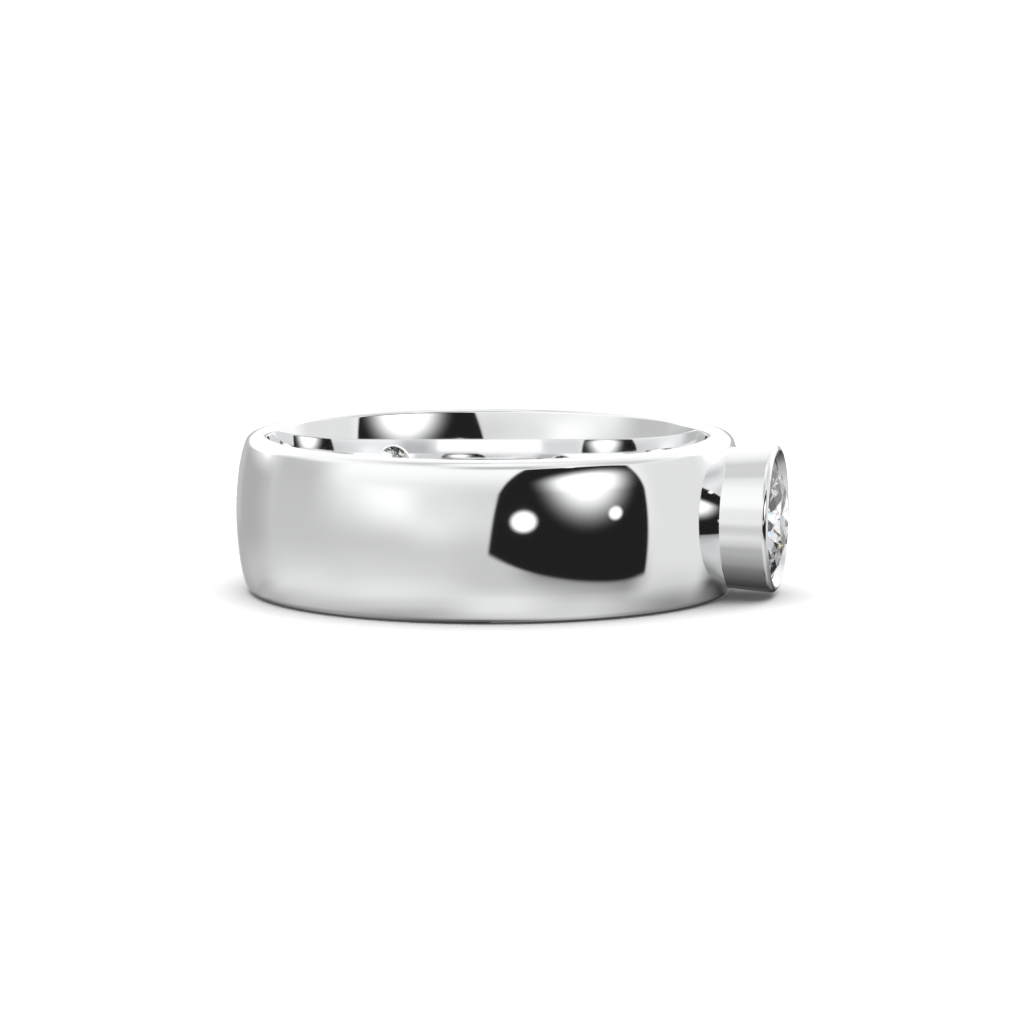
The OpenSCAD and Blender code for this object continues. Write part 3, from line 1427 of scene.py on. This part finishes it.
@dataclass(frozen=True)
class Studio:
    """Camera, plain pale floor and the lights on it.

    Args:
        heading: How far the camera stands round from square on to the band, in degrees.
        elevation: How far it looks down, in degrees.
        distance: Its distance from the point it looks at, in metres.
        aim: That point, as distance across the picture and height, in metres.
        lens: Its focal length on the sensor, both in millimetres.
        sensor: The sensor's width.
        floor_half: Half of the floor's width, in metres.
        floor_grey: The floor's brightness.
        floor_roughness: Its roughness.
    """

    heading: float = 11.5
    elevation: float = 7.412
    distance: float = 0.2044
    aim: tuple[float, float] = (0.000946, -0.000039)
    lens: float = 187.68
    sensor: float = 36.0
    floor_half: float = 1.5
    floor_grey: float = 0.9
    floor_roughness: float = 0.9

    @property
    def across(self) -> Vector:
        """The picture's right."""
        turn = math.radians(self.heading)
        return Vector((math.cos(turn), math.sin(turn), 0.0))

    @property
    def towards(self) -> Vector:
        """The level direction from the ring to the camera."""
        turn = math.radians(self.heading)
        return Vector((math.sin(turn), -math.cos(turn), 0.0))

    def camera(self) -> Object:
        """Sets up the camera at the photo's angle.

        Returns:
            The camera.
        """
        data = bpy.data.cameras.new("camera")
        data.lens = self.lens
        data.sensor_width = self.sensor
        data.clip_start = 0.01
        data.clip_end = 20.0
        made = bpy.data.objects.new("camera", data)
        bpy.context.scene.collection.objects.link(made)
        rise = math.radians(self.elevation)
        target = self.across * self.aim[0] + Vector((0, 0, self.aim[1]))
        back = self.towards * math.cos(rise) + Vector((0, 0, math.sin(rise)))
        up = back.cross(self.across)
        turn = Matrix((self.across, up, back)).transposed()
        made.matrix_world = Matrix.Translation(target + back * self.distance) @ turn.to_4x4()
        bpy.context.scene.camera = made
        return made

    def floor(self, height: float) -> Object:
        """Lays the floor under the ring.

        Args:
            height: Its height, in metres.

        Returns:
            The floor.
        """
        corners = [(x * self.floor_half, y * self.floor_half, height) for x, y in SQUARE]
        made = mesh_object("floor", np.array(corners), [], [[0, 1, 2, 3]])
        white = bpy.data.materials.new("studio_floor")
        white.use_nodes = True
        shader = white.node_tree.nodes["Principled BSDF"]
        shader.inputs["Base Color"].default_value = (*(self.floor_grey,) * 3, 1.0)
        shader.inputs["Roughness"].default_value = self.floor_roughness
        shader.inputs["Specular IOR Level"].default_value = 0.0
        made.data.materials.append(white)
        made.visible_glossy = False
        made.visible_transmission = False
        return made

    @staticmethod
    def disk_light(name: str, size: float, power: float, height: float) -> Object:
        """Hangs a round light that shines down and that the camera doesn't see.

        Args:
            name: The light's name.
            size: Its width, in metres.
            power: Its power, in watts.
            height: Its height, in metres.

        Returns:
            The light.
        """
        data = bpy.data.lights.new(name, "AREA")
        data.shape = "DISK"
        data.size = size
        data.energy = power
        made = bpy.data.objects.new(name, data)
        bpy.context.scene.collection.objects.link(made)
        made.location = (0.0, 0.0, height)
        made.visible_camera = False
        return made

    def lights(self, height: float) -> None:
        """Hangs the light that lifts the floor to white, and lights the floor that the hole's wall mirrors.

        Args:
            height: The floor's height, in metres.
        """
        overhead = self.disk_light("overhead", OVERHEAD_SIZE, OVERHEAD_POWER, OVERHEAD_HEIGHT)
        overhead.visible_glossy = False
        overhead.visible_transmission = False
        power = INNER_FLOOR_LEVEL * math.pi * math.pi * INNER_FLOOR_SIZE**2 / 4
        inner = self.disk_light("inner_floor", INNER_FLOOR_SIZE, power, height)
        inner.rotation_euler = (math.pi, 0.0, 0.0)
        inner.visible_diffuse = False

    def direction(self, side: float, height: float) -> Vector:
        """Turns a direction in degrees into a vector.

        Args:
            side: Direction across, from the camera's side towards the picture's right.
            height: Height above the horizon.

        Returns:
            The unit vector.
        """
        turn, rise = math.radians(side), math.radians(height)
        level = self.towards * math.cos(turn) + self.across * math.sin(turn)
        return level * math.cos(rise) + Vector((0, 0, math.sin(rise)))


class Surroundings:
    """The world: what metal and stone mirror, the floor's even light and a white backdrop.

    Args:
        studio: The studio, which gives the directions.
    """

    def __init__(self, studio: Studio) -> None:
        """Makes the world and measures the direction looked in."""
        self.studio = studio
        world = bpy.data.worlds.new("studio")
        bpy.context.scene.world = world
        world.use_nodes = True
        world.node_tree.nodes.clear()
        sheet = self.sheet = ShaderSheet(world.node_tree)
        self.ray = sheet.node("ShaderNodeTexCoord").outputs["Generated"]
        part = sheet.node("ShaderNodeSeparateXYZ")
        sheet.feed(part.inputs[0], self.ray)
        self.height = sheet.math("DEGREES", sheet.math("ARCSINE", part.outputs["Z"]))
        across, towards = sheet.dot(self.ray, studio.across), sheet.dot(self.ray, studio.towards)
        self.side = sheet.math("DEGREES", sheet.math("ARCTAN2", across, towards))

    def build(self) -> None:
        """Lights the world."""
        sheet = self.sheet
        level = self.backdrop()
        for cloud in CLOUDS:
            level = sheet.mix(self.cloud_mask(cloud), level, cloud.level)
        level = sheet.math("MULTIPLY", level, sheet.fade(self.height, *CONTACT_SHADE))
        level = sheet.mix(self.panel_mask(), level, self.lamps())
        path = sheet.node("ShaderNodeLightPath").outputs
        bounced = sheet.math("GREATER_THAN", path["Diffuse Depth"], 0.5)
        mirrored = sheet.math("MULTIPLY", path["Is Glossy Ray"], bounced)
        level = sheet.mix(mirrored, level, sheet.math("MULTIPLY", level, MIRROR_SPILL))
        level = sheet.mix(path["Is Diffuse Ray"], level, sheet.math("MULTIPLY", level, FLOOR_SHARE))
        lifted = sheet.mix(STONE_LIFT, level, 1.0)
        level = sheet.mix(path["Is Transmission Ray"], level, lifted)
        level = sheet.mix(path["Is Camera Ray"], level, 1.0)
        glow = sheet.node("ShaderNodeBackground")
        glow.inputs["Color"].default_value = (1.0, 1.0, 1.0, 1.0)
        sheet.feed(glow.inputs["Strength"], level)
        sheet.feed(sheet.node("ShaderNodeOutputWorld").inputs["Surface"], glow.outputs[0])

    def backdrop(self) -> NodeSocket:
        """Grades the surroundings from the ground to the ceiling.

        Returns:
            The brightness.
        """
        place = self.sheet.math("DIVIDE", self.sheet.math("ADD", self.height, 90.0), 180.0)
        return self.sheet.ramp(place, [((angle + 90) / 180, (*(grey,) * 3, 1.0)) for angle, grey in BACKDROP])

    def cloud_mask(self, cloud: Cloud) -> NodeSocket:
        """Masks a soft rectangle.

        Args:
            cloud: The rectangle.

        Returns:
            1 inside, 0 outside.
        """
        sheet = self.sheet
        mask = 1.0
        spans = ((self.side, cloud.sides, cloud.soft[0]), (self.height, cloud.heights, cloud.soft[1]))
        for value, (low, high), soft in spans:
            mask = sheet.math("MULTIPLY", mask, sheet.fade(value, low - soft, low + soft))
            mask = sheet.math("MULTIPLY", mask, sheet.fade(value, high + soft, high - soft))
        return mask

    def panel_mask(self) -> NodeSocket:
        """Masks the dark panel, a flat shape with straight sides.

        Returns:
            1 inside, 0 outside.
        """
        sheet = self.sheet
        corners = [self.studio.direction(*corner) for corner in PANEL]
        middle = sum(corners, Vector()) / len(corners)
        mask = 1.0
        for i, corner in enumerate(corners):
            inward = corners[i - 1].cross(corner).normalized()
            if inward.dot(middle) < 0:
                inward.negate()
            depth = sheet.math("ADD", sheet.dot(self.ray, inward), PANEL_REACH)
            mask = sheet.math("MULTIPLY", mask, sheet.fade(depth, -PANEL_SOFT, PANEL_SOFT))
        return mask

    def lamps(self) -> NodeSocket:
        """Lights the lamps in the dark panel.

        Returns:
            The panel's brightness.
        """
        sheet = self.sheet
        level = PANEL_LEVEL
        for lamp in LAMPS:
            wide, down, up = lamp.size
            across = sheet.math("DIVIDE", sheet.math("SUBTRACT", self.side, lamp.side), wide)
            rise = sheet.math("SUBTRACT", self.height, lamp.height)
            rise = sheet.math("MAXIMUM", sheet.math("DIVIDE", rise, up), sheet.math("DIVIDE", rise, -down))
            across, rise = sheet.math("MULTIPLY", across, across), sheet.math("MULTIPLY", rise, rise)
            reach = sheet.math("SQRT", sheet.math("ADD", across, rise))
            mask = sheet.math("POWER", sheet.fade(reach, 1 + lamp.soft, 1 - lamp.soft), lamp.falloff)
            level = sheet.mix(mask, level, lamp.level)
        return level


# The corners of a square about the origin
SQUARE = ((-1, -1), (1, -1), (1, 1), (-1, 1))
# The overhead light's width and height above the ring in metres, and its power in watts
OVERHEAD_SIZE = 2.4
OVERHEAD_HEIGHT = 1.2
OVERHEAD_POWER = 32.0
# How much of the surroundings' light falls straight onto the floor
FLOOR_SHARE = 0.36
# How far the stone's view of the surroundings is lifted towards white
STONE_LIFT = 0.42
# How much of the surroundings' light reaches the floor by way of the polished metal
MIRROR_SPILL = 0.3
# Width in metres and brightness of the bright floor inside the finger hole
INNER_FLOOR_SIZE = 0.0168
INNER_FLOOR_LEVEL = 1.1
# Height above the horizon in degrees, and the brightness of the plain surroundings there
BACKDROP = (
    (-90, 0.32), (-70, 0.26), (-50, 0.61), (-34, 0.55), (-26, 0.33), (-18, 0.0), (-10, 0.81), (-2, 1.03),
    (6, 1.07), (14, 1.08), (22, 1.08), (34, 1.08), (50, 1.04), (64, 0.88), (72, 0.97), (90, 1.17)
)
# Heights below which the ground is black in the ring's shadow, and above which it isn't shaded
CONTACT_SHADE = (-96.0, -66.0)
CLOUDS = (
    Cloud((-169, -116), (-15, 6), (6, 6), 0.451),
    Cloud((-120, -81), (-31, 28), (12, 18), 0.539),
    Cloud((-57, -9), (-6, 9), (23, 8), 2.21),
    Cloud((-121, 12), (-25, 7), (18, 20), 0.607),
    Cloud((-179, 4), (-29, -19), (73, 12), 1.12),
    Cloud((-237, -131), (-77, -21), (90, 5), 0.0344),
    Cloud((-98, -25), (-71, -40), (64, 5), 0.301),
    Cloud((19, 83), (-90, -23), (102, 18), 0.836),
    Cloud((74, 120), (-31, 25), (9, 7), 0.818),
    Cloud((80, 151), (-59, -22), (31, 10), 0.295),
    Cloud((141, 199), (-67, -11), (34, 14), 0.0181),
    Cloud((-206, -161), (-69, -13), (20, 4), 0.0385),
    Cloud((-205, -56), (66, 78), (8, 5), 0.69),
    Cloud((65, 103), (28, 61), (24, 9), 0.636),
    Cloud((-19, 37), (37, 64), (18, 9), 0.567),
    Cloud((-34, -15), (-4, 15), (9, 9), 0.962),
    Cloud((-29, 30), (-3, 20), (32, 13), 0.737),
    Cloud((-13, 25), (-44, -26), (15, 6), 0.85),
    Cloud((-12, 12), (-24, -10), (12, 4), 0.62),
    Cloud((-184, -126), (9, 36), (4, 3), 1.35),
    Cloud((122, 184), (9, 36), (4, 3), 1.35),
    Cloud((-205, -155), (-7.6, 5.2), (5, 1), 0.55),
    Cloud((155, 205), (-7.6, 5.2), (5, 1), 0.55),
    Cloud((-205, -173), (-40, -9), (4, 1.5), 0.07),
    Cloud((173, 205), (-40, -9), (4, 1.5), 0.07),
)
# The dark panel's corners in degrees, how far its edges reach past them and fade, and its brightness
PANEL = (
    (0.1, -10.6), (1.0, -3.9), (2.8, 4.7), (4.9, 11.4), (7.1, 17.2), (10.0, 22.3), (15.8, 28.8), (24.0, 33.6),
    (34.0, 36.9), (48.0, 38.2), (58.0, 37.4), (64.8, 33.2), (72.0, 18.9), (74.0, 11.0), (74.9, 4.5),
    (75.4, -5.0), (75.9, -17.2), (64.6, -19.7), (49.0, -20.4), (34.0, -19.7), (19.6, -17.4), (10.4, -15.0)
)
PANEL_REACH = 0.014
PANEL_SOFT = 0.022
PANEL_LEVEL = 0.0155
LAMPS = (
    Lamp(46.2, 18.2, (19.3, 15.9, 6.6), 0.56, 1.65, 1.5),
    Lamp(15.2, 0.4, (5.45, 3.5, 3.5), 0.33, 1.0, 1.5),
    Lamp(58.4, 1.0, (3.05, 1.85, 1.85), 0.45, 1.0, 1.5),
    Lamp(42.5, 37.6, (3.2, 2.0, 2.0), 0.35, 1.0, 1.5),
)


@dataclass
class BezelRing:
    """The whole ring: its metal and its stone.

    Args:
        sizes: The ring's sizes.
    """

    sizes: RingSizes

    def build(self) -> list[tuple[Object, Slot, str]]:
        """Builds and dresses the pieces.

        Returns:
            Each piece with its slot and the node that it stands for.
        """
        wear = polish_group()
        metal = RingMetal(self.sizes).build(lathe_tree())
        metal.data.materials.clear()
        metal.data.materials.append(PolishedMetal().build(wear))
        stone = Brilliant(self.sizes).build(facet_tree(), ClearStone().build(wear))
        return [(metal, Slot.METAL, "band_with_bezel"), (stone, Slot.STONE, "stone")]


def set_view() -> None:
    """Shows the render's light as it is, with white as pure white."""
    view = bpy.context.scene.view_settings
    view.view_transform = "Standard"
    view.look = "None"
    view.exposure = 0.0
    view.gamma = 1.0


def main() -> None:
    """Builds the studio and the ring, ties each piece to the frame and reports it."""
    logging.basicConfig(level=logging.INFO, format="%(name)s: %(message)s")
    studio = Studio()
    studio.camera()
    studio.floor(CAD_BOX[0][2])
    studio.lights(CAD_BOX[0][2])
    Surroundings(studio).build()
    set_view()
    for piece, slot, node in BezelRing(RingSizes()).build():
        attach(piece, "root")
        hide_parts(node)
        log.info("%s: %d faces, stands for %s", piece.name, len(piece.data.polygons), node)


if __name__ == "__main__":
    main()
